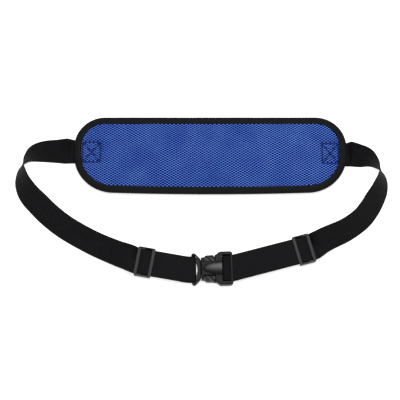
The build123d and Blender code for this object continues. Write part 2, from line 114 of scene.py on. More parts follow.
# Lower edge of each strap between its front run and the pad, as shares of the distances, and
# the way its upper edge leans in plan in strap widths.
BEND = {
    "left": [
        (1.02, 1.0, 0.0, 1.0), (1.13, 0.998, 0.02, 0.91), (1.25, 1.003, 0.06, 0.76),
        (1.46, 1.011, 0.09, 0.62), (1.62, 1.011, 0.13, 0.47), (1.73, 1.003, 0.18, 0.31),
        (1.80, 0.987, 0.23, 0.17), (1.86, 0.957, 0.31, 0.09), (1.915, 0.90, 0.45, 0.10),
        (1.935, 0.81, 0.61, 0.20), (1.91, 0.73, 0.71, 0.29), (1.84, 0.65, 0.77, 0.37),
        (1.70, 0.563, 0.77, 0.44), (1.48, 0.446, 0.72, 0.51), (1.18, 0.32, 0.62, 0.60),
        (0.75, 0.185, 0.47, 0.71), (0.36, 0.085, 0.33, 0.82), (0.12, 0.03, 0.24, 0.93),
    ],
    "right": [
        (1.04, 1.0, 0.0, 1.0), (1.18, 0.995, -0.04, 0.89), (1.36, 0.99, -0.08, 0.75),
        (1.60, 0.99, -0.14, 0.57), (1.78, 0.977, -0.18, 0.41), (1.91, 0.957, -0.21, 0.23),
        (2.01, 0.93, -0.28, 0.10), (2.12, 0.873, -0.43, 0.05), (2.175, 0.79, -0.61, 0.07),
        (2.14, 0.69, -0.73, 0.13), (2.02, 0.59, -0.79, 0.19), (1.83, 0.474, -0.78, 0.27),
        (1.54, 0.349, -0.71, 0.41), (1.06, 0.22, -0.58, 0.58), (0.46, 0.108, -0.42, 0.76),
        (0.16, 0.04, -0.33, 0.88),
    ],
}


# ---- materials ----

def colour(code):
    """sRGB hex to linear RGBA: c/12.92 below 0.04045, else ((c + 0.055) / 1.055) to the 2.4."""
    parts = [int(code[i:i + 2], 16) / 255 for i in (1, 3, 5)]
    return [c / 12.92 if c <= 0.04045 else ((c + 0.055) / 1.055) ** 2.4 for c in parts] + [1.0]


def new_tree(name):
    """An empty node material."""
    material = bpy.data.materials.new(name)
    material.use_nodes = True
    material.node_tree.nodes.clear()
    return material, material.node_tree


def node(tree, kind, links, out=0, **settings):
    """Adds a node, sets its own properties from settings and each input named in links to a
    value or another node's output, and gives back its output called out."""
    made = tree.nodes.new(kind)
    for key, value in settings.items():
        setattr(made, key, value)
    for key, value in links.items():
        if isinstance(value, bpy.types.NodeSocket):
            tree.links.new(value, made.inputs[key])
        else:
            made.inputs[key].default_value = value
    return made.outputs[out] if made.outputs else None


MATH, VECTOR, MIX, RANGE = "ShaderNodeMath", "ShaderNodeVectorMath", "ShaderNodeMix", "ShaderNodeMapRange"
NOISE, BUMP, SPLIT = "ShaderNodeTexNoise", "ShaderNodeBump", "ShaderNodeSeparateXYZ"
SHADER, OUTPUT, COORDS = "ShaderNodeBsdfPrincipled", "ShaderNodeOutputMaterial", "ShaderNodeTexCoord"
LOW_COLOUR, HIGH_COLOUR, MIXED_COLOUR = 6, 7, 2   # colour sockets of a mix node
PER_MM = 1000.0
POLISHED_FROM = 12.6  # height where the buckle's boss leaves its flat top
POLISH_RISE = 0.4     # height over which the polish comes up
BACKING_YARN = 1.2    # yarn to yarn in the backing cloth
HOLE_PITCH = 6.5      # along a course of the mesh, hole to hole
HOLE_COURSE = 4.05    # across the courses, over two staggered rows


def spacer_mesh_material():
    """Warp-knitted polyester spacer mesh: holes where 2 cos x cos y + 0.6 cos 2x is high, a
    hexagonal lattice, with x and y the plan in holes; threads bright, holes dark and sunk, broad
    patches of painted sheen, and painted shade darkening the mesh along a sewn seam."""
    material, tree = new_tree("polyester_spacer_mesh")
    where = node(tree, COORDS, {}, "Object")
    wander = node(tree, NOISE, {"Vector": where, "Scale": 11.0, "Detail": 1.0}, "Color")
    pulled = node(tree, VECTOR, {0: wander, 1: (0.009, 0.007, 0.0), 2: where}, operation="MULTIPLY_ADD")
    turns = (2 * math.pi * PER_MM / HOLE_PITCH, 2 * math.pi * PER_MM / HOLE_COURSE, 0.0)
    angles = node(tree, VECTOR, {0: pulled, 1: turns}, operation="MULTIPLY")
    cosines = node(tree, VECTOR, {0: angles}, operation="COSINE")
    cos_x = node(tree, SPLIT, {0: cosines}, "X")
    cos_y = node(tree, SPLIT, {0: cosines}, "Y")
    both = node(tree, MATH, {0: cos_x, 1: 0.6, 2: cos_y}, operation="MULTIPLY_ADD")
    lattice = node(tree, MATH, {0: both, 1: cos_x}, operation="MULTIPLY")
    hole = node(tree, RANGE, {"Value": lattice, "From Min": -0.41, "From Max": 0.22}, "Result",
                interpolation_type="SMOOTHSTEP")
    loops = node(tree, NOISE, {"Vector": where, "Scale": 1400.0, "Detail": 2.0}, "Fac")
    thread = node(tree, MIX, {0: loops, LOW_COLOUR: colour("#4b84ff"), HIGH_COLOUR: colour("#8ab8ff")},
                  MIXED_COLOUR, data_type="RGBA")
    # broad patches pulled darker and bluer: painted sheen bands across the knit
    broad = node(tree, NOISE, {"Vector": where, "Scale": 26.0, "Detail": 2.0}, "Fac")
    sheen_patches = node(tree, RANGE, {"Value": broad, "From Min": 0.3, "From Max": 0.7, "To Max": 0.45}, "Result")
    thread = node(tree, MIX, {0: sheen_patches, LOW_COLOUR: thread, HIGH_COLOUR: colour("#2f57c4")},
                  MIXED_COLOUR, data_type="RGBA")
    # painted shade in the creases along the sewn lines, from the cushion's seam attribute
    seam = node(tree, "ShaderNodeAttribute", {}, "Fac", attribute_name="seam")
    dark = node(tree, MATH, {0: hole, 1: seam}, operation="MAXIMUM")
    base = node(tree, MIX, {0: dark, LOW_COLOUR: thread, HIGH_COLOUR: colour("#000b5c")},
                MIXED_COLOUR, data_type="RGBA")
    height = node(tree, MATH, {0: loops, 1: 0.2, 2: hole}, operation="MULTIPLY_ADD")
    dents = node(tree, BUMP, {"Height": height, "Distance": 0.5 * MM, "Strength": 0.7}, "Normal",
                 invert=True)
    surface = node(tree, SHADER, {"Base Color": base, "Normal": dents, "Roughness": 0.75,
                                  "Specular IOR Level": 0.03})
    node(tree, OUTPUT, {"Surface": surface})
    return material


def woven_material(name, dark, light, warp, weft, ribs):
    """Narrow woven tape, u along it and v across: floats sin(u / 2 + v) of a twill, turned by
    the share ribs into cross ribs sin u, as in grosgrain, parted by a groove at every yarn."""
    material, tree = new_tree(name)
    weave = node(tree, "ShaderNodeUVMap", {}, uv_map="weave")
    angles = node(tree, VECTOR, {0: weave, 1: (2 * math.pi / weft, 2 * math.pi / warp, 0.0)},
                  operation="MULTIPLY")
    along = node(tree, SPLIT, {0: angles}, "X")
    across = node(tree, SPLIT, {0: angles}, "Y")
    slanted = node(tree, MATH, {0: along, 1: 0.5, 2: across}, operation="MULTIPLY_ADD")
    floats = node(tree, MATH, {0: slanted}, operation="SINE")
    cords = node(tree, MATH, {0: along}, operation="SINE")
    relief = node(tree, MIX, {0: ribs, 2: floats, 3: cords})
    half = node(tree, MATH, {0: across, 1: 0.5}, operation="MULTIPLY")
    wave = node(tree, MATH, {0: half}, operation="SINE")
    yarn = node(tree, MATH, {0: wave}, operation="ABSOLUTE")
    raised = node(tree, RANGE, {"Value": yarn, "From Max": 0.5, "To Min": 0.55}, "Result")
    lifted = node(tree, MATH, {0: relief, 1: 0.5, 2: 0.5}, operation="MULTIPLY_ADD")
    height = node(tree, MATH, {0: lifted, 1: raised}, operation="MULTIPLY")
    worn = node(tree, NOISE, {"Vector": weave, "Scale": 0.07, "Detail": 3.0}, "Fac")
    share = node(tree, MATH, {0: height, 1: worn, 2: 0.15}, operation="MULTIPLY_ADD", use_clamp=True)
    base = node(tree, MIX, {0: share, LOW_COLOUR: colour(dark), HIGH_COLOUR: colour(light)},
                MIXED_COLOUR, data_type="RGBA")
    bumps = node(tree, BUMP, {"Height": height, "Distance": 0.28 * MM, "Strength": 0.7}, "Normal")
    surface = node(tree, SHADER, {"Base Color": base, "Normal": bumps, "Roughness": 0.75,
                                  "Specular IOR Level": 0.13})
    node(tree, OUTPUT, {"Surface": surface})
    return material


def thread_material(name, dark, light):
    """Twisted bonded-nylon sewing thread: two plies that wind round each other, slightly shiny."""
    material, tree = new_tree(name)
    where = node(tree, COORDS, {}, "Object")
    plies = node(tree, "ShaderNodeTexWave", {"Vector": where, "Scale": 1100.0, "Distortion": 1.0}, "Fac",
                 bands_direction="DIAGONAL")
    base = node(tree, MIX, {0: plies, LOW_COLOUR: colour(dark), HIGH_COLOUR: colour(light)},
                MIXED_COLOUR, data_type="RGBA")
    twist = node(tree, BUMP, {"Height": plies, "Distance": 0.1 * MM, "Strength": 0.6}, "Normal")
    surface = node(tree, SHADER, {"Base Color": base, "Normal": twist, "Roughness": 0.5,
                                  "Specular IOR Level": 0.3})
    node(tree, OUTPUT, {"Surface": surface})
    return material


def acetal_material(name, dark, light, wear_and_highlight, shine, hatch=0.0):
    """Injection-moulded acetal with a fine grain from its mould: matt, painted paler along edges,
    partly as wear where hands and straps rub and partly as painted highlight, and polished where it
    stands higher than POLISHED_FROM. hatch is how strongly slanting ribs show as painted highlight
    lines, drawn coarser than the real ones so that they can be seen."""
    material, tree = new_tree(name)
    where = node(tree, COORDS, {}, "Object")
    grain = node(tree, NOISE, {"Vector": where, "Scale": 2800.0, "Detail": 2.0}, "Fac")
    broad = node(tree, NOISE, {"Vector": where, "Scale": 110.0, "Detail": 3.0}, "Fac")
    base = node(tree, MIX, {0: broad, LOW_COLOUR: colour(dark), HIGH_COLOUR: colour(light)},
                MIXED_COLOUR, data_type="RGBA")
    # edges painted paler by Pointiness: wear where hands and straps rub, and painted highlight
    edges = node(tree, "ShaderNodeNewGeometry", {}, "Pointiness")
    worn = node(tree, RANGE, {"Value": edges, "From Min": 0.5, "From Max": 0.62, "To Max": 0.6}, "Result")
    # slanting ribs painted pale: painted highlight along the ribs
    ribs = node(tree, "ShaderNodeTexWave", {"Vector": where, "Scale": 75.0}, "Fac",
                bands_direction="DIAGONAL")
    rib_highlight = node(tree, RANGE, {"Value": ribs, "From Min": 0.5, "From Max": 0.9, "To Max": hatch}, "Result")
    share = node(tree, MATH, {0: worn, 1: broad, 2: rib_highlight}, operation="MULTIPLY_ADD", use_clamp=True)
    base = node(tree, MIX, {0: share, LOW_COLOUR: base, HIGH_COLOUR: colour(wear_and_highlight)},
                MIXED_COLOUR, data_type="RGBA")
    height = node(tree, SPLIT, {0: where}, "Z")
    polish = node(tree, RANGE, {"Value": height, "From Min": POLISHED_FROM * MM,
                                "From Max": (POLISHED_FROM + POLISH_RISE) * MM}, "Result")
    gloss = node(tree, RANGE, {"Value": polish, "To Min": 0.42, "To Max": 0.3}, "Result")
    rough = node(tree, MATH, {0: grain, 1: 0.1, 2: gloss}, operation="MULTIPLY_ADD")
    mirror = node(tree, RANGE, {"Value": polish, "To Min": shine, "To Max": 0.3}, "Result")
    pits = node(tree, BUMP, {"Height": grain, "Distance": 0.03 * MM, "Strength": 0.5}, "Normal")
    surface = node(tree, SHADER, {"Base Color": base, "Roughness": rough, "Normal": pits,
                                  "Specular IOR Level": mirror})
    node(tree, OUTPUT, {"Surface": surface})
    return material


def backing_material():
    """Plain-woven polyester pack cloth on the pad's outer side: yarns sin x sin y."""
    material, tree = new_tree("polyester_pack_cloth")
    where = node(tree, COORDS, {}, "Object")
    turns = 2 * math.pi * PER_MM / BACKING_YARN
    angles = node(tree, VECTOR, {0: where, 1: (turns, turns, 0.0)}, operation="MULTIPLY")
    sines = node(tree, VECTOR, {0: angles}, operation="SINE")
    sin_x = node(tree, SPLIT, {0: sines}, "X")
    sin_y = node(tree, SPLIT, {0: sines}, "Y")
    crossed = node(tree, MATH, {0: sin_x, 1: sin_y}, operation="MULTIPLY")
    weave = node(tree, MATH, {0: crossed, 1: 0.5, 2: 0.5}, operation="MULTIPLY_ADD")
    base = node(tree, MIX, {0: weave, LOW_COLOUR: colour("#0b0b0d"), HIGH_COLOUR: colour("#1f1f22")},
                MIXED_COLOUR, data_type="RGBA")
    bumps = node(tree, BUMP, {"Height": weave, "Distance": 0.12 * MM, "Strength": 0.6}, "Normal")
    surface = node(tree, SHADER, {"Base Color": base, "Normal": bumps, "Roughness": 0.8,
                                  "Specular IOR Level": 0.2})
    node(tree, OUTPUT, {"Surface": surface})
    return material


MESH = spacer_mesh_material()
TAPE = woven_material("polyester_grosgrain_binding", "#080808", "#1e1e1f", 0.9, 1.5, 0.75)
WEBBING = woven_material("polyester_twill_webbing", "#060608", "#1b1b1e", 1.7, 2.6, 0.0)
BLACK_THREAD = thread_material("black_nylon_thread", "#101012", "#303034")
NAVY_THREAD = thread_material("navy_nylon_thread", "#01041c", "#0a1a58")
# The fourth colour of each acetal paints its edges and ribs paler: wear where hands and straps rub, and
# painted highlight.
BUCKLE_PLASTIC = acetal_material("black_acetal_buckle", "#080809", "#101011", "#343435", 0.13)
GRIP_PLASTIC = acetal_material("black_acetal_grips", "#080809", "#101011", "#4c4c4d", 0.13, 0.9)
SLIDER_PLASTIC = acetal_material("grey_acetal_slider", "#2a2a2b", "#363637", "#4c4c4e", 0.16)
BACKING = backing_material()


# ---- mesh making ----

def finish_mesh(name, points, faces, material, uv=None, body="belt", nodes=(), smooth=True):
    """Puts vertex and face arrays into a mesh piece, welds its seams, turns its faces outwards
    and lets it ride. uv is one pair of millimetre coordinates for each face corner."""
    mesh = bpy.data.meshes.new(name)
    mesh.from_pydata((points * MM).tolist(), [], faces.tolist())
    if uv is not None:
        layer = mesh.uv_layers.new(name="weave")
        layer.data.foreach_set("uv", uv.astype(np.float32).ravel())
    build = bmesh.new()
    build.from_mesh(mesh)
    bmesh.ops.remove_doubles(build, verts=build.verts, dist=1e-7)
    bmesh.ops.recalc_face_normals(build, faces=build.faces)
    build.to_mesh(mesh)
    build.free()
    mesh.polygons.foreach_set("use_smooth", [smooth] * len(mesh.polygons))
    mesh.materials.append(material)
    piece = bpy.data.objects.new(name, mesh)
    bpy.context.scene.collection.objects.link(piece)
    if body:
        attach(piece, body)
    if nodes:
        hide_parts(*nodes)
    return piece


def grid_faces(rows, columns, wrap_rows=False, wrap_columns=False):
    """Quads of a grid of rows by columns points, joined end to end where it wraps."""
    r = np.arange(rows if wrap_rows else rows - 1)
    c = np.arange(columns if wrap_columns else columns - 1)
    a = r[:, None] * columns + c[None, :]
    b = r[:, None] * columns + (c[None, :] + 1) % columns
    down = ((r[:, None] + 1) % rows) * columns
    d = down + c[None, :]
    e = down + (c[None, :] + 1) % columns
    return np.stack([a, b, e, d], axis=-1).reshape(-1, 4)


def grid_uv(rows, columns, u, v, wrap_rows=False, wrap_columns=False):
    """Corner coordinates of the same quads: u grows by rows, v by columns."""
    r = np.arange(rows if wrap_rows else rows - 1)
    c = np.arange(columns if wrap_columns else columns - 1)
    r, c = np.meshgrid(r, c, indexing="ij")
    corners = [(r, c), (r, c + 1), (r + 1, c + 1), (r + 1, c)]
    return np.stack([np.stack([u[i], v[j]], axis=-1) for i, j in corners], axis=2).reshape(-1, 2)


def unit(vectors):
    """Vectors scaled to length one."""
    return vectors / np.maximum(np.linalg.norm(vectors, axis=-1, keepdims=True), 1e-12)


def curve_through(points, steps):
    """Catmull-Rom curve: between each pair of points, steps samples of the cubic that leaves
    one along the chord of its neighbours and meets the other along the chord of its own."""
    padded = np.vstack([2 * points[0] - points[1], points, 2 * points[-1] - points[-2]])
    t = np.linspace(0, 1, steps, endpoint=False)[:, None]
    p0, p1, p2, p3 = (padded[i:len(padded) - 3 + i][:, None, :] for i in range(4))
    t = t[None]
    spans = 0.5 * (2 * p1 + (p2 - p0) * t + (2 * p0 - 5 * p1 + 4 * p2 - p3) * t**2
                   + (3 * p1 - p0 - 3 * p2 + p3) * t**3)
    return np.vstack([spans.reshape(-1, points.shape[1]), points[-1:]])


def lengths(points):
    """Distance run along a chain of points."""
    return np.concatenate([[0.0], np.cumsum(np.linalg.norm(np.diff(points, axis=0), axis=1))])


def resampled(points, step):
    """The same chain at even steps."""
    run = lengths(points)
    even = np.linspace(0, run[-1], max(2, int(round(run[-1] / step)) + 1))
    return np.stack([np.interp(even, run, column) for column in points.T], axis=1)


# ---- webbing ----

ACROSS = np.linspace(-1, 1, 25)


def web_profile(width, thick):
    """Closed outline of cut webbing: across it, half the thickness times (1 - |s|^14)^(1/4), so
    that the faces are flat and the woven edges round, and a shallow selvedge ridge near each."""
    half = thick / 2 * (1 - np.abs(ACROSS) ** 14) ** 0.25
    half = half + SELVEDGE_RISE * np.exp(-((np.abs(ACROSS) - SELVEDGE_AT) / SELVEDGE_SHARE) ** 2)
    across = np.concatenate([ACROSS, ACROSS[::-1][1:-1]]) * width / 2
    through = np.concatenate([half, -half[::-1][1:-1]])
    return across, through


def web_ribbon(name, centre, over, body="belt", nodes=(), width=WEB_WIDTH, thick=WEB,
               material=None):
    """Webbing swept along a centre line: at each point the profile lies across the strap (over)
    and stands off it along the cross product of the way it runs and over. Ends close to a line,
    and nothing sinks under the table."""
    along = unit(np.gradient(centre, axis=0))
    over = unit(over - along * np.sum(over * along, axis=1, keepdims=True))
    normal = np.cross(along, over)
    across, through = web_profile(width, thick)
    grid = centre[:, None] + over[:, None] * across[None, :, None] + normal[:, None] * through[None, :, None]
    ends = [centre[i] + over[i] * across[:, None] for i in (0, -1)]
    grid = np.concatenate([ends[0][None], grid, ends[1][None]])
    grid[..., 2] = np.maximum(grid[..., 2], 0.0)
    run = lengths(centre)
    run = np.concatenate([run[:1] - thick / 2, run, run[-1:] + thick / 2])
    rows, columns = grid.shape[:2]
    edge = np.concatenate([across + through * 0.4, (across + through * 0.4)[:1]])
    uv = grid_uv(rows, columns, run, edge, wrap_columns=True)
    faces = grid_faces(rows, columns, wrap_columns=True)
    return finish_mesh(name, grid.reshape(-1, 3), faces, material or WEBBING, uv, body, nodes)


def on_floor(angle):
    """Unit direction on the floor."""
    return np.array([math.cos(angle), math.sin(angle), 0.0])


def at_buckle(x, y=0.0, z=0.0):
    """Point given along and across the buckle."""
    c, s = math.cos(BUCKLE_TURN), math.sin(BUCKLE_TURN)
    return np.array([BUCKLE_CENTRE[0] + x * c - y * s, BUCKLE_CENTRE[1] + x * s + y * c, z])


UP = np.array([0.0, 0.0, 1.0])
RUN_UP = UP * (RUN_Z + WEB / 2)
SIDE = {"left": -1, "right": 1}
BAR_X = {"left": PLUG_BAR_X, "right": SOCKET_BAR_X}
LOOP_PULL = {"left": 0.25, "right": -0.42}   # how far each loop rests off the middle of its bar
TURN_POINT = {"left": at_buckle(PLUG_BAR_X - PLUG_STRAIGHT),
              "right": at_buckle(SOCKET_BAR_X + SOCKET_STRAIGHT)}
WAY = {side: on_floor(RUN_TURN[side]) for side in SIDE}
SLIDER = {side: TURN_POINT[side] + WAY[side] * RUN_LENGTH[side] for side in SIDE}


def bend_path(side, run_end, inward):
    """Centre line and crosswise directions of a strap's bend: a Catmull-Rom curve through its
    lower edge and its lean at each point of BEND, from under the pad to the front run."""
    sign = SIDE[side]
    last = run_end - inward * WEB_WIDTH / 2
    pad_x = PAD_CENTRE[0] + sign * PAD_HALF_LENGTH
    line_y = PAD_CENTRE[1] + WEB_UP[side] - WEB_WIDTH / 2
    out, high, over_x, over_y = np.array(BEND[side]).T
    edge = np.stack([last[0] + out * (pad_x - last[0]), last[1] + high * (line_y - last[1])], axis=1)
    lean = np.stack([over_x, over_y, np.sqrt(np.maximum(0, 1 - over_x**2 - over_y**2))], axis=1)
    near = np.where(high < 0.5, np.maximum(0, 1 - out / LIFT_FROM), 0.0)
    flat = np.hypot(over_x, over_y)
    edge = np.column_stack([edge, RUN_Z * near**2 + WEB / 2 * flat])
    tuck = np.array([[pad_x - sign * reach, line_y, WEB / 2] for reach in (TUCK, TUCK_STRAIGHT)])
    up = np.array([0.0, 1.0, 0.0])
    edges = np.vstack([tuck, edge, last + RUN_UP, last - WAY[side] * RUN_OVERLAP + RUN_UP])
    leans = np.vstack([up, up, lean, inward, inward])
    both = curve_through(np.hstack([edges, leans]), BEND_STEPS)
    edge, over = both[:, :3], unit(both[:, 3:])
    return edge + over * WEB_WIDTH / 2, over


def front_path(side, run_end, bar):
    """Plan of the front run up to the buckle bar: two straights, and between them the curve
    (1 - t)^2 a + 2t(1 - t) c + t^2 b, with c the corner where the strap turns."""
    corner = TURN_POINT[side]
    start = run_end - WAY[side] * RUN_OVERLAP * 1.5
    into = corner + WAY[side] * TURN_REACH
    out_of = corner + unit(bar - corner) * TURN_REACH
    t = np.linspace(0, 1, 9)[:, None]
    turn = (1 - t) ** 2 * into + 2 * t * (1 - t) * corner + t**2 * out_of
    straight = resampled(np.vstack([start, into]), STRAP_STEP)[:-1]
    return resampled(np.vstack([straight, turn, bar]), STRAP_STEP)


def strap_path(side):
    """Centre line and crosswise directions of one strap: its bend, the front run, half round
    the buckle bar (centre + radius times cosine and sine), and back underneath to the slider."""
    run_end = SLIDER[side] + WAY[side] * RUN_PAST
    inward = np.array([-WAY[side][1], WAY[side][0], 0.0]) * SIDE[side]
    curved, over = bend_path(side, run_end, inward)
    bar = at_buckle(BAR_X[side] + LOOP_PULL[side])
    front = front_path(side, run_end, bar)
    way = unit(np.gradient(front, axis=0))
    cross = np.column_stack([way[:, 1], -way[:, 0], way[:, 2]]) * SIDE[side]
    towards = unit(bar - TURN_POINT[side])
    angle = np.linspace(0, math.pi, 15)[1:-1]
    loop = bar + np.array([0, 0, BAR_Z]) + (LOOP_RADIUS + WEB / 2) * (
        np.sin(angle)[:, None] * towards + np.cos(angle)[:, None] * UP)
    loop_cross = np.repeat(cross[-1:], len(angle), axis=0)
    under = front[::-1] + UP * WEB / 2
    under_cross = cross[::-1]
    kept = np.sum((under - SLIDER[side]) * WAY[side], axis=1) < CENTRE_BAR / 2
    under, under_cross = under[kept], under_cross[kept]
    # the lower layer never lies quite under the upper one
    drift = np.clip(lengths(under) / DRIFT_OVER, 0, 1)[:, None] * UNDER_DRIFT
    under = under + under_cross * drift
    centre = np.vstack([curved, front + RUN_UP, loop, under])
    return centre, np.vstack([over, cross, loop_cross, under_cross])


straps = {}
for side in SIDE:
    centre, over = strap_path(side)
    straps[side] = web_ribbon(side + "_webbing", centre, over, body=None, nodes=(side + "_strap",))
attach(straps["right"], "belt")
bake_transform(straps["left"])


def slider_point(side, x, y, z):
    """Points given along, across and above a slider, x positive towards the buckle."""
    way = -WAY[side]
    cross = np.array([-way[1], way[0], 0.0])
    x, y, z = np.broadcast_arrays(np.asarray(x, float), np.asarray(y, float), np.asarray(z, float))
    return SLIDER[side] + x[..., None] * way + y[..., None] * cross + z[..., None] * UP


def slider_hump(side, over):
    """The strap humped over the slider's centre bar: height cos^2 of a quarter turn times the
    way out from the bar."""
    reach = SLIDER_LENGTH / 2 - SLIDER_END_BAR + HUMP_REACH
    x = np.linspace(-reach, reach, 31)
    z = RUN_Z + WEB / 2 - HUMP_SINK + HUMP_RISE * np.cos(x / reach * math.pi / 2) ** 2
    web_ribbon(side + "_webbing_over_bar", slider_point(side, x, 0.0, z),
               np.repeat(over[None], len(x), axis=0), body=side + "_slider",
               width=WEB_WIDTH - HUMP_INSET)


def slider_tail(side, over):
    """The strap's tail, half round the centre bar and back, its two layers drawn together by
    3t^2 - 2t^3 and sewn. Gives back the height of its top and how far it reaches."""
    low, high = WEB + SLIP, RUN_Z - SLIP
    middle, radius = (low + high) / 2, (high - low) / 2 - WEB / 2
    straight = CENTRE_BAR / 2 + WEB - (high - low) / 2
    far = CENTRE_BAR / 2 + WEB + TAIL_STUB
    angle = np.linspace(math.pi / 2, math.pi * 1.5, 17)
    bend_x, bend_z = -straight + radius * np.cos(angle), middle + radius * np.sin(angle)
    ease = np.linspace(0, 1, 8)
    rise = ease * ease * (3 - 2 * ease)
    out_x = straight + ease * TAIL_CLOSES
    gap = WEB / 2
    upper_z = middle + radius + (gap - radius) * rise
    lower_z = middle - radius - (gap - radius) * rise
    x = np.concatenate([[far], out_x[::-1], bend_x, out_x, [far - 1.0]])
    z = np.concatenate([[middle + gap], upper_z[::-1], bend_z, lower_z, [middle - gap]])
    path = resampled(slider_point(side, x, 0.0, z), 1.0)
    web_ribbon(side + "_webbing_tail", path, np.repeat(over[None], len(path), axis=0),
               body=side + "_slider", nodes=(side + "_strap_tail",), width=WEB_WIDTH - TAIL_INSET)
    return middle + gap + WEB / 2, far


# ---- stitches ----

def stitches(name, starts, ends, up, radius, rise, material, body, nodes=()):
    """Rows of single stitches: each one runs straight from start to end, lifted by rise times
    sin(pi t), with a round section of radius times sin(pi t)^0.4, so that both ends dive in."""
    t = np.linspace(0.02, 0.98, 7)
    ring = np.linspace(0, 2 * math.pi, 7)[:-1]
    along = unit(ends - starts)
    side = unit(np.cross(along, up))
    lift = np.cross(side, along)
    spine = starts[:, None] + (ends - starts)[:, None] * t[None, :, None]
    spine = spine + lift[:, None] * (rise * np.sin(math.pi * t))[None, :, None]
    size = radius * np.sin(math.pi * t) ** 0.4
    size[[0, -1]] = 0.0
    circle = (side[:, None, None] * np.cos(ring)[None, None, :, None]
              + lift[:, None, None] * np.sin(ring)[None, None, :, None])
    points = spine[:, :, None] + circle * size[None, :, None, None]
    one = grid_faces(len(t), len(ring), wrap_columns=True)
    count = len(t) * len(ring)
    faces = (np.arange(len(starts))[:, None, None] * count + one[None]).reshape(-1, 4)
    return finish_mesh(name, points.reshape(-1, 3), faces, material, None, body, nodes)


def stitch_line(points, pitch, share=0.86):
    """Starts and ends of stitches along a chain of points, each a share of the pitch long."""
    run = lengths(points)
    count = max(1, int(run[-1] / pitch))
    first = (np.arange(count) + 0.5 - share / 2) * run[-1] / count
    last = first + share * run[-1] / count
    at = [np.stack([np.interp(d, run, c) for c in points.T], axis=1) for d in (first, last)]
    return at[0], at[1]


def joined(lines, pitch):
    """Stitches of several chains as one pair of arrays."""
    pairs = [stitch_line(line, pitch) for line in lines]
    return np.vstack([a for a, _ in pairs]), np.vstack([b for _, b in pairs])


def box_lines(middle, half_x, half_y, z, cross=True):
    """Chains of a sewn square and, if cross, its two diagonals."""
    corner = np.array([[-1, -1], [1, -1], [1, 1], [-1, 1]]) * [half_x, half_y] + middle
    chains = [(0, 1), (1, 2), (2, 3), (3, 0)] + ([(0, 2), (1, 3)] if cross else [])
    return [np.column_stack([corner[list(c)], [z, z]]) for c in chains]


# ---- pad ----

def pad_outline(count):
    """Pad's outline and outward normals at even steps: straight top and ends, lower edge an arc
    of radius (l^2 + b^2) / 2b for half length l and bow b, corners round."""
    x, y = PAD_HALF_LENGTH, PAD_HALF_HEIGHT
    big = (x**2 + BOTTOM_BOW**2) / (2 * BOTTOM_BOW)
    fx = x - BOTTOM_CORNER
    fy = -y + big - math.sqrt((big - BOTTOM_CORNER) ** 2 - fx**2)
    slope = math.atan2(fy - (-y + big), fx)
    arc = np.linspace(0, math.pi / 2, 60)
    top = np.column_stack([x - TOP_CORNER + TOP_CORNER * np.cos(arc),
                           y - TOP_CORNER + TOP_CORNER * np.sin(arc)])
    arc = np.linspace(slope, 0, 80)
    low = np.column_stack([fx + BOTTOM_CORNER * np.cos(arc), fy + BOTTOM_CORNER * np.sin(arc)])
    arc = np.linspace(-math.pi / 2, slope, 120)
    bottom = np.column_stack([big * np.cos(arc), -y + big + big * np.sin(arc)])
    right = np.vstack([bottom, low[1:], top])
    left = right[::-1][1:] * [-1, 1]
    ring = np.vstack([right, left[:-1], right[:1]])
    run = lengths(ring)
    even = np.linspace(0, run[-1], count, endpoint=False)
    points = np.stack([np.interp(even, run, c) for c in ring.T], axis=1)
    way = unit(np.roll(points, -1, axis=0) - np.roll(points, 1, axis=0))
    normals = np.column_stack([way[:, 1], -way[:, 0]])
    return points, normals, run[-1]


def pad_rings(insets, low_z, high_z):
    """Closed flat slab on the pad's outline, as a grid of rings from the middle of its lower
    face out and back to the middle of its upper one: each pulled in by an inset up to
    CORE_INSET, then drawn in evenly to the pad's long middle line."""
    points, normals, _ = pad_outline(RING_POINTS)
    core = points - normals * CORE_INSET
    line = np.column_stack([np.clip(core[:, 0], -CORE_HALF_LENGTH, CORE_HALF_LENGTH),
                            np.full(len(core), CORE_Y)])
    rings = []
    for inset in insets:
        if inset <= CORE_INSET:
            rings.append(points - normals * inset)
        else:
            share = (inset - CORE_INSET) / (insets[-1] - CORE_INSET)
            rings.append(core + (line - core) * share)
    plan = np.array(rings) + PAD_CENTRE
    top = np.dstack([plan, np.full(plan.shape[:2], high_z)])
    bottom = np.dstack([plan, np.full(plan.shape[:2], low_z)])
    return np.concatenate([bottom[::-1], top])


def edge_distance(points):
    """How far plan points lie inside the pad's outline."""
    ring, _, _ = pad_outline(420)
    ring = ring + PAD_CENTRE
    out = np.empty(len(points))
    for low in range(0, len(points), 4000):
        part = points[low:low + 4000]
        out[low:low + 4000] = np.sqrt(((part[:, None] - ring[None]) ** 2).sum(-1)).min(1)
    return out


def smooth_step(value, low, high):
    """0 below low, 1 above high, 3t^2 - 2t^3 between."""
    t = np.clip((value - low) / (high - low), 0, 1)
    return t * t * (3 - 2 * t)


def box_middle(side):
    """Middle of a strap's sewn square on the pad."""
    return PAD_CENTRE + np.array(
        [SIDE[side] * (PAD_HALF_LENGTH - BOX_FROM_END - BOX_LENGTH[side] / 2), BOX_UP[side]])


def mesh_points(mesh):
    """Vertex places of a mesh in millimetres."""
    points = np.empty(len(mesh.vertices) * 3, np.float32)
    mesh.vertices.foreach_get("co", points)
    return points.reshape(-1, 3).astype(float) / MM


def move_points(mesh, points):
    """Puts the vertices of a mesh at places in millimetres."""
    mesh.vertices.foreach_set("co", (points * MM).astype(np.float32).ravel())
    mesh.update()


def apply_modifier(piece, modifier):
    """Makes a modifier's result the piece's own mesh."""
    bpy.context.view_layer.objects.active = piece
    bpy.ops.object.modifier_apply(modifier=modifier.name)


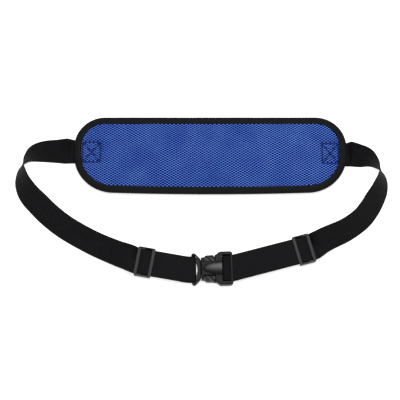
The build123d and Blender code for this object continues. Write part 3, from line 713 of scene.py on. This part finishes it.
def blow_up(piece, held):
    """Runs the piece as cloth under pressure, with the held vertices still and no gravity."""
    hold = piece.vertex_groups.new(name="hold")
    hold.add(held.tolist(), 1.0, "REPLACE")
    cloth = piece.modifiers.new("cloth", "CLOTH")
    cloth.settings.use_pressure = True
    cloth.settings.uniform_pressure_force = 9.0
    cloth.settings.effector_weights.gravity = 0.0
    cloth.settings.vertex_group_mass = "hold"
    cloth.settings.tension_stiffness = 15.0
    cloth.settings.compression_stiffness = 15.0
    cloth.settings.bending_stiffness = 2.0
    cloth.collision_settings.use_collision = False
    cloth.point_cache.frame_start, cloth.point_cache.frame_end = 1, FRAMES
    for number in range(1, FRAMES + 1):
        bpy.context.scene.frame_set(number)
    apply_modifier(piece, cloth)


def sewn_down(plan):
    """How far the sewn squares and crosses draw the mesh down at plan points, and how much painted
    shade darkens the crease there: both go by exp(-(d / w)^2) for the distance d to the nearest
    sewn line, and each square also sinks as a whole, easing out past its edge."""
    sink, seam_shade = np.zeros(len(plan)), np.zeros(len(plan))
    for side in SIDE:
        near = plan - box_middle(side)
        half = np.array([BOX_LENGTH[side], BOX_HEIGHT]) / 2
        outer = np.max(np.abs(near) - half, axis=1)
        diagonal = np.minimum(np.abs(near[:, 0] * half[1] - near[:, 1] * half[0]),
                              np.abs(near[:, 0] * half[1] + near[:, 1] * half[0])) / np.hypot(*half)
        line = np.minimum(np.abs(outer), np.where(outer < 0, diagonal, 99.0))
        sink += SEAM_SINK * np.exp(-((line / 2.4) ** 2)) + BOX_SINK * (1 - smooth_step(outer, -2.0, 9.0))
        seam_shade = np.maximum(seam_shade, np.exp(-((line / 1.3) ** 2)))
    return np.minimum(sink, MOST_SINK), seam_shade


def pad_cushion():
    """Foam pad under its mesh face: a slab, blown up as cloth, held at its bound edge and kept
    flat underneath, then drawn down along the sewn squares and crosses. The cloth's moves m are
    softened to c tanh(m / c), with c the most that a point may move."""
    insets = np.concatenate([np.linspace(3.0, CORE_INSET, 12), np.linspace(50, 64, 4)])
    grid = pad_rings(insets, FOAM_LOW, FOAM_HIGH)
    rows, columns = grid.shape[:2]
    piece = finish_mesh("pad_cushion", grid.reshape(-1, 3), grid_faces(rows, columns, wrap_columns=True),
                        MESH, body=None)
    remesh = piece.modifiers.new("remesh", "REMESH")
    remesh.mode, remesh.voxel_size = "VOXEL", 4.0 * MM
    apply_modifier(piece, remesh)
    mesh = piece.data
    rest = mesh_points(mesh)
    upper = rest[:, 2] > FOAM_MIDDLE
    held = (edge_distance(rest[:, :2]) < HELD_EDGE) | (rest[:, 2] < FOAM_MIDDLE - 0.5)
    blow_up(piece, np.flatnonzero(held))
    move = mesh_points(mesh) - rest
    size = np.linalg.norm(move, axis=1, keepdims=True)
    blown = rest + move * (MOST_MOVE * np.tanh(size / MOST_MOVE) / np.maximum(size, 1e-9))
    blown[:, 2] = np.where(upper, np.minimum(blown[:, 2], MOST_HIGH), blown[:, 2])
    move_points(mesh, blown)
    subdivide = piece.modifiers.new("subdivide", "SUBSURF")
    subdivide.levels = subdivide.render_levels = 1
    apply_modifier(piece, subdivide)
    points = mesh_points(mesh)
    face = smooth_step(points[:, 2], 4.0, 6.5)
    sink, seam_shade = sewn_down(points[:, :2])
    points[:, 2] -= face * sink
    # seam holds painted shade for the creases along the sewn lines, strongest on the upper face
    seam = mesh.attributes.new("seam", "FLOAT", "POINT")
    seam.data.foreach_set("value", (0.9 * face * seam_shade).astype(np.float32))
    move_points(mesh, points)
    mesh.polygons.foreach_set("use_smooth", [True] * len(mesh.polygons))
    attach(piece, "belt")
    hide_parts("mesh_panel", "foam_core")
    return piece


def surface_height(piece, places, default):
    """Height of the piece's upper face over plan points: the mean of its upper vertices, each
    weighted by 1 / (d^2 + 0.3)^2 for its distance d."""
    points = mesh_points(piece.data)
    points = points[points[:, 2] > 5.0]
    low, high = places.min(0) - 6, places.max(0) + 6
    points = points[np.all((points[:, :2] > low) & (points[:, :2] < high), axis=1)]
    if not len(points):
        return np.full(len(places), default)
    gap = ((places[:, None] - points[None, :, :2]) ** 2).sum(-1)
    weight = 1 / (gap + 0.3) ** 2
    return (weight * points[None, :, 2]).sum(1) / weight.sum(1)


def binding():
    """Grosgrain tape folded round the pad's edge: a profile of inset and height, curved over a
    soft rolled edge, carried along the outline, with the tape's thickness to both sides."""
    middle = np.array([
        [11.4, 8.0], [10.2, 8.9], [8.8, 8.85], [6.6, 9.3], [4.0, 9.35], [1.8, 8.75], [0.6, 7.4],
        [0.45, 4.9], [1.0, 2.9], [2.8, 1.85], [6.0, 1.75], [9.0, 1.75], [11.0, 1.8],
    ])
    line = resampled(curve_through(middle, 6), 0.85)
    way = unit(np.gradient(line, axis=0))
    normal = np.column_stack([way[:, 1], -way[:, 0]])
    run = lengths(line)
    half = TAPE_HALF * (1 - np.abs(2 * run / run[-1] - 1) ** 30) ** 0.5
    profile = np.vstack([line + normal * half[:, None], (line - normal * half[:, None])[::-1][1:-1]])
    across = np.concatenate([run, run[::-1][1:-1]])
    count = 720
    points, normals, perimeter = pad_outline(count)
    plan = points[:, None] - normals[:, None] * profile[None, :, :1] + PAD_CENTRE
    height = np.repeat(profile[None, :, 1], count, axis=0)
    # the tape waves slightly along the edge
    along = np.linspace(0, perimeter, count, endpoint=False)
    wave = 0.10 * np.sin(along / 23.0) + 0.07 * np.sin(along / 9.1 + 1.0)
    share = smooth_step(profile[:, 1], 5.0, 8.0)
    height = height + wave[:, None] * share[None]
    grid = np.dstack([plan, height])
    rows, columns = grid.shape[:2]
    u = np.linspace(0, perimeter, count + 1)
    v = np.concatenate([across, across[:1]])
    uv = grid_uv(rows, columns, u, v, wrap_rows=True, wrap_columns=True)
    faces = grid_faces(rows, columns, wrap_rows=True, wrap_columns=True)
    return finish_mesh("edge_binding_tape", grid.reshape(-1, 3), faces, TAPE, uv, "belt",
                       ("edge_binding",))


def back_cloth():
    """Outer cloth of the pad, seen from below: flat rings closed to the pad's middle line."""
    insets = np.concatenate([np.linspace(2.0, CORE_INSET, 8), np.linspace(52, 64, 3)])
    low = PAD_BOTTOM + CLOTH_UP
    grid = pad_rings(insets, low, low + CLOTH_THICK)
    rows, columns = grid.shape[:2]
    return finish_mesh("pad_backing_cloth", grid.reshape(-1, 3),
                       grid_faces(rows, columns, wrap_columns=True), BACKING, None, "belt",
                       ("backing_panel",))


def binding_stitches():
    """Lockstitch line along the binding, on its upper and its under side."""
    ring, normals, _ = pad_outline(720)
    seam = ring - normals * SEAM_INSET + PAD_CENTRE
    seam = np.vstack([seam, seam[:1]])
    for name, z, up, nodes in (("binding_stitches", 9.2, UP, ("binding_stitching",)),
                               ("binding_stitches_under", 1.38, -UP, ())):
        chain = np.column_stack([seam, np.full(len(seam), z)])
        starts, ends = stitch_line(chain, STITCH_PITCH["binding"])
        stitches(name, starts, ends, up, 0.28, 0.22, BLACK_THREAD, "belt", nodes)


def box_stitches(side, cushion):
    """Stitches of a strap's sewn square and cross, on the mesh and under the pad."""
    lines = box_lines(box_middle(side), BOX_LENGTH[side] / 2 - BOX_LINE_INSET,
                      BOX_HEIGHT / 2 - BOX_LINE_INSET, 0.0)
    starts, ends = joined(lines, STITCH_PITCH["box"])
    for chain in (starts, ends):
        chain[:, 2] = surface_height(cushion, chain[:, :2], MESH_TOP) + 0.1
    stitches(side + "_box_stitches", starts, ends, UP, 0.8, 0.2, NAVY_THREAD, "belt",
             (side + "_box_stitching",))
    starts[:, 2] = ends[:, 2] = 0.1
    stitches(side + "_box_stitches_under", starts, ends, -UP, 0.35, 0.1, BLACK_THREAD, "belt")


def tail_stitches(side, top, far):
    """Sewn square on a strap's tail beside the slider's centre bar."""
    middle = np.array([far - TAIL_STUB / 2, 0.0])
    chains = box_lines(middle, TAIL_STUB * 0.3, WEB_WIDTH * 0.4, top, cross=False)
    starts, ends = joined([slider_point(side, *chain.T) for chain in chains], STITCH_PITCH["tail"])
    stitches(side + "_tail_stitches", starts, ends, UP, 0.35, 0.1, BLACK_THREAD, side + "_slider",
             (side + "_tail_stitching",))


cushion = pad_cushion()
binding()
back_cloth()
binding_stitches()
for side in SIDE:
    box_stitches(side, cushion)
    over = slider_point(side, 0.0, 1.0, 0.0) - SLIDER[side]
    slider_hump(side, over)
    tail_stitches(side, *slider_tail(side, over))

for name, material, slot in (("buckle_socket", BUCKLE_PLASTIC, "buckle_plastic"),
                             ("buckle_plug", BUCKLE_PLASTIC, "buckle_plastic"),
                             ("upper_release_arm", GRIP_PLASTIC, "buckle_plastic"),
                             ("lower_release_arm", GRIP_PLASTIC, "buckle_plastic"),
                             ("left_slider", SLIDER_PLASTIC, "slider_plastic"),
                             ("right_slider", SLIDER_PLASTIC, "slider_plastic")):
    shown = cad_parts[name]
    shown.data.materials.clear()
    shown.data.materials.append(material)


# ---- floor, light and camera ----

def table_material():
    """Matt white table top with a faint mottle, and a slight glow that keeps its shadows soft."""
    material, tree = new_tree("matt_white_table")
    where = node(tree, COORDS, {}, "Object")
    mottle = node(tree, NOISE, {"Vector": where, "Scale": 30.0, "Detail": 2.0}, "Fac")
    base = node(tree, MIX, {0: mottle, LOW_COLOUR: colour("#fafafa"), HIGH_COLOUR: colour("#ffffff")},
                MIXED_COLOUR, data_type="RGBA")
    surface = node(tree, SHADER, {"Base Color": base, "Roughness": 0.9, "Emission Strength": 0.7,
                                  "Emission Color": colour("#ffffff")})
    node(tree, OUTPUT, {"Surface": surface})
    return material


TABLE_REACH, TABLE_TOP = 4000.0, -0.4
corners = np.array([[x * TABLE_REACH, y * TABLE_REACH, TABLE_TOP]
                    for x, y in ((-1, -1), (1, -1), (1, 1), (-1, 1))])
finish_mesh("table_top", corners, np.array([[0, 1, 2, 3]]), table_material(), body=None)

CAMERA_ELEVATION = math.radians(73.0)
CAMERA_DISTANCE = 1.400
aim = Vector((-0.00255, 0.00045, 0.0))
back = Vector((0.0, -math.cos(CAMERA_ELEVATION), math.sin(CAMERA_ELEVATION)))
camera = bpy.data.objects.new("camera", bpy.data.cameras.new("camera"))
camera.data.lens, camera.data.sensor_width = 80.8, 36.0
camera.location = aim + back * CAMERA_DISTANCE
camera.rotation_euler = (-back).to_track_quat("-Z", "Y").to_euler()
bpy.context.scene.collection.objects.link(camera)
bpy.context.scene.camera = camera


def soft_light(name, where, size, power):
    """Square soft box that faces the belt's middle."""
    lamp = bpy.data.lights.new(name, "AREA")
    lamp.size, lamp.energy = size, power
    made = bpy.data.objects.new(name, lamp)
    made.location = where
    made.rotation_euler = (-Vector(where)).to_track_quat("-Z", "Y").to_euler()
    bpy.context.scene.collection.objects.link(made)


soft_light("key_box", (0.10, 0.47, 1.45), 0.75, 19.0)
world = bpy.data.worlds.new("studio")
world.use_nodes = True
background = world.node_tree.nodes["Background"]
background.inputs["Color"].default_value = colour("#ffffff")
background.inputs["Strength"].default_value = 0.3
bpy.context.scene.world = world
bpy.context.scene.view_settings.view_transform = "Standard"
